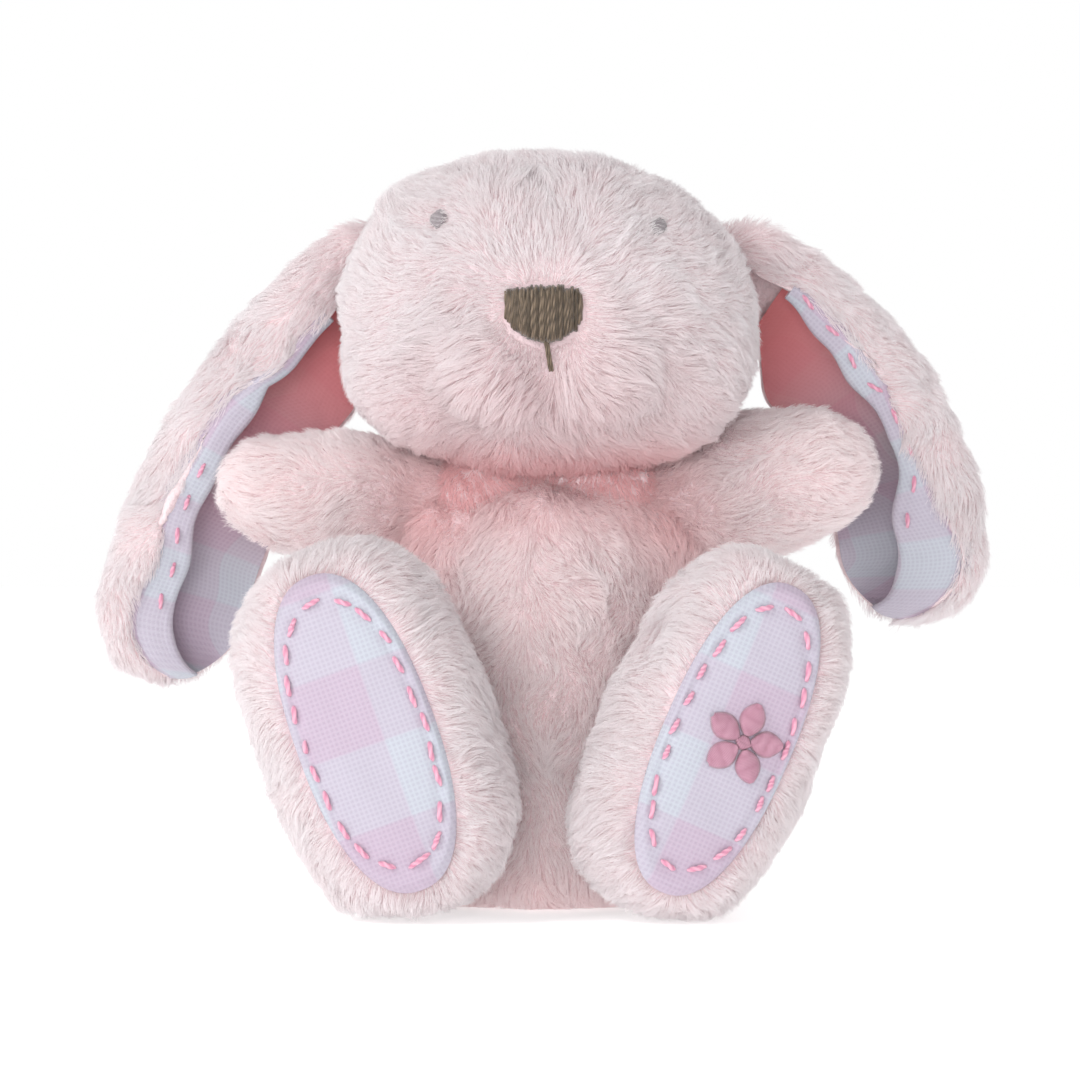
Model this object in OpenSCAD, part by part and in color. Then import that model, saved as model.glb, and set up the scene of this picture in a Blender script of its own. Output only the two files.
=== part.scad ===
// Small plush bunny with lop ears, sitting up with its feet in front of it.
// It faces -Y and sits on the XY plane, with the centre of its flat seat at the origin.
// Left and right are the toy's own, so its left side is at +X.
// Each limb grows from a ball that turns in a round recess, as a stuffed limb turns at its seam.

/* [Cover and thread] */
// Thickness of the fur cover, backing and packed pile together
cover_t = 2.4; // [1.8:0.2:3]
// Thickness of the cotton lining
lining_t = 0.8; // [0.6:0.1:1]
// Room between a cover and what it holds
fit_gap = 0.3; // [0.2:0.1:0.4]
// Room around a seam ball in its recess
seam_room = 1.2; // [1:0.1:1.6]

/* [Torso] */
// Radius of the torso at its widest
torso_r = 35.5; // [33:0.5:36]
// Height of the top of the torso, under the head
torso_h = 93; // [88:1:94]
// Height of the widest level above the seat
belly_z = 36; // [30:1:42]
// Height of the pouch of pellets in the seat
pouch_h = 18; // [12:1:26]
// Radius of the tail
tail_r = 12; // [9:0.5:14]

/* [Head] */
// Width of the head
head_w = 91; // [88:1:93]
// Height and depth of the head
head_h = 71; // [68:1:72]
// Radius of a cheek
cheek_r = 16; // [14:0.5:16]
// Radius of the ball at the neck
neck_r = 13; // [11:0.5:14]
// Width of the embroidered nose
nose_w = 17; // [12:0.5:20]
// Height of the embroidered nose
nose_h = 11.5; // [8:0.5:14]
// Diameter of an embroidered eye
eye_d = 5; // [3:0.5:8]

/* [Arms] */
// Length of an arm from its seam ball to its tip
arm_len = 49; // [44:1:51]
// Radius of an arm at its thickest
arm_r = 13; // [10:0.5:13]
// Reach of the arms forward of straight out, in degrees
arm_reach = 12; // [8:1:16]
// Rise of the left arm above level, in degrees
left_arm_rise = 12; // [0:1:12]
// Rise of the right arm above level, in degrees
right_arm_rise = 5; // [0:1:12]

/* [Feet] */
// Length of a foot, heel to toe
foot_len = 80; // [74:1:82]
// Radius of a foot across its length
foot_r = 26; // [23:0.5:26.5]
// Depth from the middle of a foot to its sole
sole_depth = 19; // [16:0.5:21]
// Lean of the toes away from the middle, in degrees
foot_lean = 21; // [16:1:24]
// Turn of the left sole away from the middle, in degrees
left_foot_turn = 10; // [0:1:12]
// Turn of the right sole away from the middle, in degrees
right_foot_turn = 5; // [0:1:12]
// Stitches round each sole
sole_stitches = 28; // [20:2:34]

/* [Ears] */
// Radius of the lengthwise fold of an ear
fold_r = 9; // [8:0.5:9.5]
// Width of the narrow front flap, fold to edge
flap_w = 13; // [11:1:18]
// Width of the rear panel, fold to edge
panel_w = 34; // [28:1:36]
// Bend radius of the outer edge of the left ear
left_bend_r = 94; // [90:1:100]
// Angle through which the left ear bends, root to lobe, in degrees
left_bend = 57; // [50:1:58]
// Bend radius of the outer edge of the right ear
right_bend_r = 155; // [150:1:162]
// Angle through which the right ear bends, root to lobe, in degrees
right_bend = 38; // [34:1:39]

/* [Hidden] */

$fn = 96;
LEFT = 1;
RIGHT = -1;

fur = [0.93, 0.83, 0.83];
fur_pale = [0.93, 0.89, 0.89];
fill = [0.95, 0.95, 0.93];
check_cotton = [0.90, 0.86, 0.94];
pouch_cloth = [0.88, 0.88, 0.86];
pellet_plastic = [0.97, 0.97, 0.95];
pink_thread = [0.85, 0.56, 0.66];
brown_thread = [0.42, 0.37, 0.30];
grey_thread = [0.55, 0.51, 0.52];
rose_thread = [0.76, 0.55, 0.58];

// Torso: an egg with its small end up, cut flat at the seat and at the neck
egg_half = 72;
egg_taper = 0.1;
torso_steps = 26;
function torso_radius(z) = let (u = (z - belly_z) / egg_half) torso_r * sqrt(1 - u * u) * (1 - egg_taper * u);
// The tail's ball is flattened where it is sewn to the back
tail_flat = 0.55 * tail_r;
tail_rise = 3;
tail_c = [0, torso_r + 2 * fit_gap + tail_flat, tail_r + tail_rise];
pouch_wall = 0.8;

// Head: a puffed form lathed about X, with two cheeks
head_c = [0, -10, 133.5];
head_square = 2.4;
cheek_c = [27, -22, 120.5];
neck_c = [0, -3, 94.5];
thread_h = 1;
// Threads sewn on the face: places across and up from the middle of the head
nose_x = -1;
nose_z = -1.5;
// The nose narrows downwards: half widths as shares of its width, and a level as a share of its height
nose_mid_share = 0.46;
nose_low_share = 0.32;
nose_mid_level = 0.2;
mouth_x = 1;
mouth_len = 7;
mouth_w = 1;
eye_x = 24.3;
eye_z = 18.5;

// Arms: seam balls at the sides, just under the cheeks
shoulder_c = [26, 1, 90.5];
shoulder_r = 8;
arm_square = 2.3;

// Feet: lathed about their long axis, cut flat at the sole, with a thigh to a ball at the hip
hip_c = [27, -21, 25];
hip_r = 11;
thigh_r = 8.5;
foot_c = [37.6, -52.5, 40.6];
foot_square = 2.9;
patch_t = 1.2;
// The line of stitches, as a share of the sole's own half width and half length
stitch_share_w = 0.76;
stitch_share_l = 0.86;
stitch_len = 3.6;
stitch_r = 0.5;
motif_r = 6.2;
petal_r = 4.2;
petals = 5;
motif_h = 1.1;
motif_rise = 2;
motif_core_r = 3.4;
motif_core_h = 1.5;

// Ears: seam balls at the sides of the crown
ear_c = [41, 0, 150];
ear_ball_r = 5;
ear_stem_r = 4.4;
ear_tilt = 12;
left_ear_heading = 67;
right_ear_heading = 54;
ear_stem_len = 14.5;
ear_start_len = 8.5;
ear_inner_x = 29;
ear_margin = 0.6;
lining_gap = 0.05;
lining_margin = 1;
// Stitches along the lining: their pitch, where they begin, and how far in from its edge they lie
ear_pitch = 8;
ear_stitch_start = 26;
ear_stitch_inset = 4;
ear_stitch_gap = 0.1;

// Half outline of a puffed form that reaches +-a along its axis and r from it, squarer as n grows
puff_steps = 30;
function puff(a, r, n) = [for (i = [0:puff_steps]) let (c = cos(180 * i / puff_steps))
    [i == 0 || i == puff_steps ? 0 : r * pow(1 - pow(abs(c), n), 1 / n), -a * c]];

// A length beyond every part of the toy, for cutting tools
beyond = 150;

module lathe(outline) rotate_extrude() polygon(outline);
module lathe_x(outline) rotate([0, 90, 0]) lathe(outline);
function mirrored(p, side) = [side * p[0], p[1], p[2]];
module at(p, side) translate(mirrored(p, side)) children();

// Turns +Z to a direction
module aim(d) rotate([0, acos(d[2] / norm(d)), atan2(d[1], d[0])]) children();

// A rod between two points
module rod(from, to, r) translate(from) aim(to - from) cylinder(h = norm(to - from), r = r);

// A ring of thread round a seam ball of radius r, across a direction
module seam_ring(r, d) color(pink_thread)
    aim(d) rotate_extrude() translate([r + seam_room / 2, 0]) circle(seam_room / 3);

// ---- torso ----

module torso_form(inset) {
    outline = [[0, inset], for (i = [0:torso_steps])
        let (z = inset + (torso_h - 2 * inset) * i / torso_steps) [torso_radius(z) - inset, z],
        [0, torso_h - inset]];
    lathe(outline);
}

// Every recess in the torso, with extra room
module torso_recesses(extra) {
    translate(neck_c) sphere(neck_r + seam_room + extra);
    for (side = [LEFT, RIGHT]) {
        at(shoulder_c, side) sphere(shoulder_r + seam_room + extra);
        at(hip_c, side) rotate([90, 0, 0]) sphere(hip_r + seam_room + extra);
    }
}

module body_cover() color(fur) difference() {
    torso_form(0);
    torso_form(cover_t);
    torso_recesses(0);
}

module seat_zone(bottom, top) translate([-beyond, -beyond, bottom])
    cube([2 * beyond, 2 * beyond, top - bottom]);

module body_stuffing() color(fill) difference() {
    torso_form(cover_t + fit_gap);
    seat_zone(-1, pouch_h + fit_gap);
    torso_recesses(cover_t);
}

module pouch_form(inset) difference() {
    torso_form(cover_t + fit_gap + inset);
    seat_zone(pouch_h - inset, torso_h);
    torso_recesses(cover_t + inset);
}

module pellet_pouch() color(pouch_cloth) difference() {
    pouch_form(0);
    pouch_form(pouch_wall);
}

module pellets() color(pellet_plastic) pouch_form(pouch_wall + fit_gap);

module tail_form(inset) translate(tail_c) rotate([-90, 0, 0]) rotate_extrude() intersection() {
    circle(tail_r - inset);
    translate([0, inset - tail_flat]) square(3 * tail_r);
}

module tail_cover() color(fur_pale) difference() {
    tail_form(0);
    tail_form(cover_t);
}

module tail_stuffing() color(fill) tail_form(cover_t + fit_gap);

// ---- neck ----

module neck_plug() color(fur) translate(neck_c) sphere(neck_r);

module neck_seam() translate(neck_c) seam_ring(neck_r, [0, 0, 1]);

// ---- head ----

module head_form(inset) {
    translate(head_c) lathe_x(puff(head_w / 2 - inset, head_h / 2 - inset, head_square));
    for (side = [LEFT, RIGHT]) at(cheek_c, side) sphere(cheek_r - inset);
}

module head_recesses(extra) {
    translate(neck_c) sphere(neck_r + seam_room + extra);
    for (side = [LEFT, RIGHT]) at(ear_c, side) sphere(ear_ball_r + seam_room + extra);
}

module head_cover() color(fur_pale) difference() {
    head_form(0);
    head_form(cover_t);
    head_recesses(0);
}

module head_stuffing() color(fill) difference() {
    head_form(cover_t + fit_gap);
    head_recesses(cover_t);
}

// What lies on the face within a prism that runs forward from the head's own frame
module on_face() intersection() {
    translate(head_c) difference() {
        lathe_x(puff(head_w / 2 + thread_h, head_h / 2 + thread_h, head_square));
        lathe_x(puff(head_w / 2, head_h / 2, head_square));
    }
    translate(head_c) rotate([90, 0, 0]) linear_extrude(head_h) children();
}

module nose() color(brown_thread) on_face() translate([nose_x, nose_z]) polygon([
    [-nose_w / 2, nose_h / 2], [nose_w / 2, nose_h / 2],
    [nose_w * nose_mid_share, -nose_h * nose_mid_level], [nose_w * nose_low_share, -nose_h / 2],
    [-nose_w * nose_low_share, -nose_h / 2], [-nose_w * nose_mid_share, -nose_h * nose_mid_level]]);

module mouth() color(brown_thread) on_face()
    translate([nose_x + mouth_x - mouth_w / 2, nose_z - nose_h / 2 - mouth_len - fit_gap])
        square([mouth_w, mouth_len]);

module eye(side) color(grey_thread) on_face() translate([side * eye_x, eye_z]) circle(d = eye_d);
module left_eye() eye(LEFT);
module right_eye() eye(RIGHT);

// ---- ears ----
// An ear is built at +X in a frame whose origin is its seam ball, and mirrored for the right.
// Its fold is a tube bent about an axis along Y.

module ear_place(side) at(ear_c, side) rotate([ear_tilt, 0, 0]) mirror([side < 0 ? 1 : 0, 0, 0])
    children();

function bend_r(side) = side > 0 ? left_bend_r : right_bend_r;
function heading(side) = side > 0 ? left_ear_heading : right_ear_heading;
function bend_angle(side) = side > 0 ? left_bend : right_bend;
function spine_r(side) = bend_r(side) - fold_r;
function bend_c(side) = -spine_r(side) * [cos(heading(side)), 0, sin(heading(side))];
function spine(side, along) = let (a = heading(side) - along * 180 / (PI * spine_r(side)))
    bend_c(side) + spine_r(side) * [cos(a), 0, sin(a)];

// Turns a shape drawn as distance from the bend axis against depth, from one angle to another
module bend(side, from, to) translate(bend_c(side)) rotate([90, 0, 0]) rotate([0, 0, from])
    rotate_extrude(angle = to - from) children();

// Section of one layer of the folded ear, the front flap at +Y of the drawing
module fold_section(side, inset, t) translate([spine_r(side), 0]) {
    difference() {
        circle(fold_r - inset);
        circle(fold_r - inset - t);
        translate([-2 * fold_r, -2 * fold_r]) square([2 * fold_r, 4 * fold_r]);
    }
    translate([fold_r - flap_w, fold_r - inset - t]) square([flap_w - fold_r, t]);
    translate([fold_r - panel_w, -fold_r + inset]) square([panel_w - fold_r, t]);
}

// Outline of the ear seen from the front: the bend from its start to the lobe, and the round lobe
module ear_outline(side, margin) {
    lobe_r = panel_w / 2 - margin;
    lobe_angle = heading(side) - bend_angle(side);
    bend(side, lobe_angle, heading(side)) translate([bend_r(side) - panel_w + margin, -2 * fold_r])
        square([panel_w, 4 * fold_r]);
    translate(bend_c(side) + (bend_r(side) - panel_w / 2) * [cos(lobe_angle), 0, sin(lobe_angle)])
        rotate([90, 0, 0]) cylinder(h = 4 * fold_r, r = lobe_r, center = true);
}

module ear_layer(side, inset, t, margin, start_len) {
    start = heading(side) - start_len * 180 / (PI * spine_r(side));
    stop = heading(side) - bend_angle(side) - panel_w * 180 / (PI * spine_r(side));
    intersection() {
        bend(side, stop, start) fold_section(side, inset, t);
        ear_outline(side, margin);
        translate([ear_inner_x - ear_c[0], -beyond, -beyond]) cube(2 * beyond);
    }
}

module ear_back(side) color(fur) difference() {
    ear_place(side) {
        ear_layer(side, 0, cover_t, 0, ear_start_len);
        aim(spine(side, ear_stem_len)) sphere(ear_ball_r);
        rod([0, 0, 0], spine(side, ear_stem_len), ear_stem_r);
        translate(spine(side, ear_stem_len)) aim(spine(side, ear_stem_len)) sphere(fold_r - cover_t + ear_margin);
    }
    difference() {
        head_form(-ear_margin);
        at(ear_c, side) sphere(ear_ball_r + seam_room);
    }
}

module ear_lining(side) color(check_cotton) difference() {
    ear_place(side) ear_layer(side, cover_t + lining_gap, lining_t, lining_margin, ear_stem_len + fold_r);
    head_form(-ear_margin);
}

// Running stitches along the lining's inner edge
module ear_stitches(side) color(pink_thread) {
    r = bend_r(side) - panel_w + ear_stitch_inset;
    y = fold_r - cover_t - lining_t - stitch_r - ear_stitch_gap;
    step = ear_pitch * 180 / (PI * r);
    first = heading(side) - ear_stitch_start * 180 / (PI * r);
    last = heading(side) - bend_angle(side);
    ear_place(side) for (a = [last:step:first]) translate(bend_c(side) + [r * cos(a), y, r * sin(a)])
        rotate([0, -a, 0]) cylinder(h = stitch_len, r = stitch_r, center = true);
}

module ear_seam(side) ear_place(side) seam_ring(ear_ball_r, spine(side, ear_stem_len));

module left_ear_back() ear_back(LEFT);
module left_ear_lining() ear_lining(LEFT);
module left_ear_stitches() ear_stitches(LEFT);
module left_ear_seam() ear_seam(LEFT);
module right_ear_back() ear_back(RIGHT);
module right_ear_lining() ear_lining(RIGHT);
module right_ear_stitches() ear_stitches(RIGHT);
module right_ear_seam() ear_seam(RIGHT);

// ---- arms ----

function arm_rise(side) = side > 0 ? left_arm_rise : right_arm_rise;
module arm_place(side) at(shoulder_c, side) mirror([side < 0 ? 1 : 0, 0, 0]) rotate([0, 0, -arm_reach])
    rotate([0, -arm_rise(side), 0]) children();

module arm_form(inset) {
    translate([arm_len / 2, 0, 0]) lathe_x(puff(arm_len / 2 - inset, arm_r - inset, arm_square));
    sphere(shoulder_r - inset);
}

module arm_cover(side) color(fur) arm_place(side) difference() {
    arm_form(0);
    arm_form(cover_t);
}

module arm_stuffing(side) color(fill) arm_place(side) arm_form(cover_t + fit_gap);

module shoulder_seam(side) arm_place(side) seam_ring(shoulder_r, [1, 0, 0]);

module left_arm_cover() arm_cover(LEFT);
module left_arm_stuffing() arm_stuffing(LEFT);
module left_shoulder_seam() shoulder_seam(LEFT);
module right_arm_cover() arm_cover(RIGHT);
module right_arm_stuffing() arm_stuffing(RIGHT);
module right_shoulder_seam() shoulder_seam(RIGHT);

// ---- legs ----

function foot_turn(side) = side > 0 ? left_foot_turn : right_foot_turn;
module foot_place(side) at(foot_c, side) mirror([side < 0 ? 1 : 0, 0, 0]) rotate([0, 0, foot_turn(side)])
    rotate([0, foot_lean, 0]) children();

module foot_form(inset) lathe(puff(foot_len / 2 - inset, foot_r - inset, foot_square));

// Everything in front of the sole, in the foot's own frame
module beyond_sole(depth) translate([-beyond, -depth - beyond, -beyond])
    cube([2 * beyond, beyond, 2 * beyond]);

module leg_form(side, inset) {
    foot_place(side) foot_form(inset);
    at(hip_c, side) sphere(hip_r - inset);
    rod(mirrored(hip_c, side), mirrored(foot_c, side), thigh_r - inset);
}

module leg_cover(side) color(fur_pale) difference() {
    leg_form(side, 0);
    leg_form(side, cover_t);
    foot_place(side) beyond_sole(sole_depth);
}

module leg_stuffing(side) color(fill) difference() {
    leg_form(side, cover_t + fit_gap);
    foot_place(side) beyond_sole(sole_depth - fit_gap);
}

module hip_seam(side) at(hip_c, side) seam_ring(hip_r, mirrored(foot_c - hip_c, side));

module sole_patch(side) color(check_cotton) foot_place(side) intersection() {
    lathe(puff(foot_len / 2 + patch_t, foot_r + patch_t, foot_square));
    translate([-beyond, -sole_depth - patch_t, -beyond]) cube([2 * beyond, patch_t, 2 * beyond]);
}

sole_half_w = sqrt(foot_r * foot_r - sole_depth * sole_depth);
sole_half_l = foot_len / 2 * pow(1 - pow(sole_depth / foot_r, foot_square), 1 / foot_square);
stitch_line = [sole_half_w * stitch_share_w, sole_half_l * stitch_share_l];
// A point on the line of stitches; the angle is eased so that even steps give even spacing
function stitch_point(step) = let (a = atan2(sqrt(stitch_line[0]) * sin(step), sqrt(stitch_line[1]) * cos(step)))
    [stitch_line[0] * cos(a), stitch_line[1] * sin(a)];

module stitches_round_sole(side) color(pink_thread) foot_place(side)
    translate([0, -sole_depth - patch_t - stitch_r, 0])
        for (i = [0:sole_stitches - 1]) {
            a = 360 * i / sole_stitches;
            p = stitch_point(a);
            ahead = stitch_point(a + 1) - p;
            translate([p[0], 0, p[1]]) rotate([0, atan2(ahead[0], ahead[1]), 0])
                cylinder(h = stitch_len, r = stitch_r, center = true);
        }

module left_sole_motif() color(rose_thread) foot_place(LEFT)
    translate([0, -sole_depth - patch_t, motif_rise]) rotate([90, 0, 0]) {
        cylinder(h = motif_core_h, r = motif_core_r);
        for (i = [0:petals - 1]) rotate([0, 0, 90 + 360 * i / petals]) translate([motif_r, 0, 0])
            cylinder(h = motif_h, r = petal_r);
    }

module left_leg_cover() leg_cover(LEFT);
module left_leg_stuffing() leg_stuffing(LEFT);
module left_hip_seam() hip_seam(LEFT);
module left_sole_patch() sole_patch(LEFT);
module left_sole_stitches() stitches_round_sole(LEFT);
module right_leg_cover() leg_cover(RIGHT);
module right_leg_stuffing() leg_stuffing(RIGHT);
module right_hip_seam() hip_seam(RIGHT);
module right_sole_patch() sole_patch(RIGHT);
module right_sole_stitches() stitches_round_sole(RIGHT);

body_cover();
body_stuffing();
pellet_pouch();
pellets();
tail_cover();
tail_stuffing();
neck_plug();
neck_seam();
head_cover();
head_stuffing();
nose();
mouth();
left_eye();
right_eye();
left_ear_back();
left_ear_lining();
left_ear_stitches();
left_ear_seam();
right_ear_back();
right_ear_lining();
right_ear_stitches();
right_ear_seam();
left_arm_cover();
left_arm_stuffing();
left_shoulder_seam();
right_arm_cover();
right_arm_stuffing();
right_shoulder_seam();
left_leg_cover();
left_leg_stuffing();
left_hip_seam();
left_sole_patch();
left_sole_stitches();
left_sole_motif();
right_leg_cover();
right_leg_stuffing();
right_hip_seam();
right_sole_patch();
right_sole_stitches();
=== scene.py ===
import math
import bmesh
import bpy
import numpy as np
from collections import namedtuple
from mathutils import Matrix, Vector, kdtree


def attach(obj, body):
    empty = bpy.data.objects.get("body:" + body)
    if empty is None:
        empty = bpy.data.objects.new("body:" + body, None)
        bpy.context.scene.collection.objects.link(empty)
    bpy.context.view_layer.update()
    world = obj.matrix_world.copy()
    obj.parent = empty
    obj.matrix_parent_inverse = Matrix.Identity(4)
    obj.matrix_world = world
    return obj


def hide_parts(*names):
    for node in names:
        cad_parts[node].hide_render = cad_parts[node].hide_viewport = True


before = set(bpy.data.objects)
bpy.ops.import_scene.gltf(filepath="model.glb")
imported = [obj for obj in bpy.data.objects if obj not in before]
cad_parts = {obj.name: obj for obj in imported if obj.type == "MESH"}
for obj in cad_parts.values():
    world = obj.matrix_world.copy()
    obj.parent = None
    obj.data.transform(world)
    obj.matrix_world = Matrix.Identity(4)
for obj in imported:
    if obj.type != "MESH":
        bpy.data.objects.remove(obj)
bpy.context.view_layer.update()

MM = 0.001
SIDES = {"left": 1, "right": -1}

# ---- the toy's measures, in millimetres and degrees, in the frame of the CAD part ----
# A place given once for both sides is that of the toy's left, which is at +X.

TORSO_R, TORSO_H, BELLY_Z, EGG_HALF, EGG_TAPER = 35.0, 93, 36, 72, 0.1
GROUND_GAP = 0.8
HEAD_C = np.array([0, -10, 133.5])
HEAD_HALF_W, HEAD_R, HEAD_SQUARE = 45.5, 35.6, 2.4
HEAD_LEAN, HEAD_NARROWING = 3.2, 0.1
CHEEK_C, CHEEK_R = [27, -22, 120.2], 15.6
MUZZLE_C, MUZZLE_R = [11.5, -36, 121], 12
EYE_SOCKET_Y, EYE_SOCKET_R = -44, 5.5
NECK_C, NECK_REACH, NECK_R = np.array([0, -3, 94.5]), np.array([12, 0, -2]), 13.5
NOSE_C = np.array([-1, -45.5, 132])
EYE_X, EYE_Z = 24.3, {"left": 151.6, "right": 153.4}
SHOULDER_C = np.array([26, 1, 90.5])
SHOULDER_ROOT, SHOULDER_ROOT_R = np.array([23, 0, 83]), 14
SHOULDER_R = 11.5
ARM_LEN, ARM_REACH, ARM_SQUARE = 49, 12, 2.3
ARM_R = {"left": 15.2, "right": 13.2}
ARM_RISE = {"left": 12, "right": 5}
FOOT_C = {"left": np.array([35.2, -52.5, 40.0]), "right": np.array([-37.6, -52.5, 41.2])}
HIP_C, THIGH_R = np.array([27, -21, 25]), 11
FOOT_HALF, FOOT_R, FOOT_SQUARE, SOLE_DEPTH = 39.8, 24.8, 2.9, 18.5
FOOT_LEAN = {"left": 24, "right": 20}
FOOT_TURN = {"left": 10, "right": 5}
PATCH_SQUARE = 2.3
FOOT_SLIM = {"left": 0.89, "right": 0.98}
PATCH_HALF_W = {"left": 14.2, "right": 15.2}
PATCH_HALF_L, PATCH_DEPTH = 35.5, 19.4
EAR_C = np.array([41, 0, 150])
EAR_TILT, EAR_FOLD, EAR_WIDTH = 12, 9, 34
EAR_BEND_R = {"left": 93.2, "right": 152.9}
EAR_BEND = {"left": 60, "right": 40}
EAR_HEADING = {"left": 67, "right": 54.2}
EAR_BEND_C = {"left": (-31.9, -80.2), "right": (-85.4, -118.7)}
TAIL_C, TAIL_R = np.array([0, 43.5, 15]), 11.2


def unit(v):
    return v / np.maximum(np.linalg.norm(v, axis=-1, keepdims=True), 1e-9)


def smoothstep(a, b, x):
    t = np.clip((x - a) / (b - a), 0, 1)
    return t * t * (3 - 2 * t)


def mirrored(p, side):
    return np.asarray(p, float) * [SIDES[side], 1, 1]


def turn(axis, degrees):
    c, s = math.cos(math.radians(degrees)), math.sin(math.radians(degrees))
    i, j = [(1, 2), (2, 0), (0, 1)]["XYZ".index(axis)]
    m = np.eye(3)
    m[i, i], m[i, j], m[j, i], m[j, j] = c, -s, s, c
    return m


def waves(p, size, seed, count=14):
    """Smooth noise of about -1 to 1, whose bumps are about size across."""
    rng = np.random.default_rng(seed)
    k = unit(rng.normal(size=(count, 3))) * rng.uniform(0.6, 1.5, (count, 1)) * math.pi / size
    phase = rng.uniform(0, 2 * math.pi, count)
    return np.sin(p @ k.T + phase).sum(axis=1) / math.sqrt(count)


# ---- distances from each part's form, in millimetres, negative inside ----

def joined(a, b, k):
    h = np.clip(0.5 + 0.5 * (a - b) / k, 0, 1)
    return a + (b - a) * h - k * h * (1 - h)


def cut(a, b, k):
    return -joined(-a, -b, k)


def ball(p, centre, r):
    return np.linalg.norm(p - centre, axis=1) - r


def rod(p, a, b, r):
    d = b - a
    t = np.clip((p - a) @ d / (d @ d), 0, 1)
    return np.linalg.norm(p - a - t[:, None] * d, axis=1) - r


def puff(along, across, half, r, square):
    return r * ((np.abs(along / half) ** square + (across / r) ** square) ** (1 / square) - 1)


def torso_distance(p):
    u = np.clip((p[:, 2] - BELLY_Z) / EGG_HALF, -0.99, 0.99)
    side = np.hypot(p[:, 0], p[:, 1]) - TORSO_R * np.sqrt(1 - u * u) * (1 - EGG_TAPER * u)
    side = joined(side, rod(p, mirrored(SHOULDER_ROOT, "right"), SHOULDER_ROOT, SHOULDER_ROOT_R), 9)
    return cut(cut(side, GROUND_GAP - p[:, 2], 5), p[:, 2] - TORSO_H - 4, 12)


def head_distance(p):
    q = p - HEAD_C
    high = smoothstep(0, 36, q[:, 2])
    across = (q[:, 0] + HEAD_LEAN * high) / (1 - HEAD_NARROWING * high)
    d = puff(across, np.hypot(q[:, 1], q[:, 2]), HEAD_HALF_W, HEAD_R, HEAD_SQUARE)
    for side in SIDES:
        d = joined(d, ball(p, mirrored(CHEEK_C, side), CHEEK_R), 6)
        d = joined(d, ball(p, mirrored(MUZZLE_C, side), MUZZLE_R), 4)
        d = cut(d, -ball(p, mirrored([EYE_X, EYE_SOCKET_Y, EYE_Z[side]], side), EYE_SOCKET_R), 6)
    return d


def arm_axes(side):
    return np.diag([SIDES[side], 1, 1]) @ turn("Z", -ARM_REACH) @ turn("Y", -ARM_RISE[side])


def arm_distance(side):
    axes, origin, r = arm_axes(side), mirrored(SHOULDER_C, side), ARM_R[side]

    def distance(p):
        q = (p - origin) @ axes
        d = puff(q[:, 0] - ARM_LEN / 2 + 1, np.hypot(q[:, 1], q[:, 2]), ARM_LEN / 2, r, ARM_SQUARE)
        return joined(d, ball(p, origin, SHOULDER_R), 3)
    return distance


def foot_axes(side):
    return np.diag([SIDES[side], 1, 1]) @ turn("Z", FOOT_TURN[side]) @ turn("Y", FOOT_LEAN[side])


def leg_distance(side):
    axes, origin, hip = foot_axes(side), FOOT_C[side], mirrored(HIP_C, side)

    def distance(p):
        q = (p - origin) @ axes
        d = puff(q[:, 2], np.hypot(q[:, 0] / FOOT_SLIM[side], q[:, 1]), FOOT_HALF, FOOT_R, FOOT_SQUARE)
        d = cut(d, -q[:, 1] - SOLE_DEPTH, 5)
        d = joined(d, rod(p, hip, origin, THIGH_R), 5)
        return cut(d, GROUND_GAP - p[:, 2], 4)
    return distance


def tail_distance(p):
    return cut(ball(p, TAIL_C, TAIL_R), TORSO_R - 1 - p[:, 1], 4)


def neck_distance(p):
    return rod(p, NECK_C + NECK_REACH * [-1, 1, 1], NECK_C + NECK_REACH, NECK_R)


# ---- meshes ----

def mesh_object(name, points, faces):
    mesh = bpy.data.meshes.new(name)
    mesh.from_pydata((np.asarray(points) * MM).tolist(), [], faces)
    mesh.update()
    mesh.polygons.foreach_set("use_smooth", [True] * len(mesh.polygons))
    made = bpy.data.objects.new(name, mesh)
    bpy.context.scene.collection.objects.link(made)
    return made


def points_of(mesh):
    out = np.empty(len(mesh.vertices) * 3)
    mesh.vertices.foreach_get("co", out)
    return out.reshape(-1, 3) / MM


def normals_of(mesh):
    out = np.empty(len(mesh.vertices) * 3)
    mesh.vertex_normals.foreach_get("vector", out)
    return out.reshape(-1, 3)


def set_points(mesh, points):
    mesh.vertices.foreach_set("co", (points * MM).ravel())
    mesh.update()


def float_layer(mesh, name, values, domain="POINT"):
    layer = mesh.attributes.new(name, "FLOAT", domain)
    layer.data.foreach_set("value", np.asarray(values, np.float32))


def vector_layer(mesh, name, values):
    layer = mesh.attributes.new(name, "FLOAT_VECTOR", "POINT")
    layer.data.foreach_set("vector", np.asarray(values, np.float32).ravel())


FURTHEST = 120.0
HALVINGS = 24


def star_form(name, centre, stretch, distance, level):
    """A closed mesh round centre, where distance is nought along each ray."""
    bm = bmesh.new()
    bmesh.ops.create_icosphere(bm, subdivisions=level, radius=1)
    rays = unit(np.array([v.co for v in bm.verts]) @ np.asarray(stretch).T)
    faces = [[v.index for v in f.verts] for f in bm.faces]
    bm.free()
    near, far = np.zeros(len(rays)), np.full(len(rays), FURTHEST)
    for _ in range(HALVINGS):
        middle = (near + far) / 2
        inside = distance(centre + rays * middle[:, None]) < 0
        near, far = np.where(inside, middle, near), np.where(inside, far, middle)
    made = mesh_object(name, centre + rays * near[:, None], faces)
    if np.linalg.det(np.asarray(stretch)) < 0:
        made.data.flip_normals()
    return made


INFLATE_FRAMES = 14
INFLATE_PRESSURE = 4
INFLATE_LIMIT = 1.3


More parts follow.
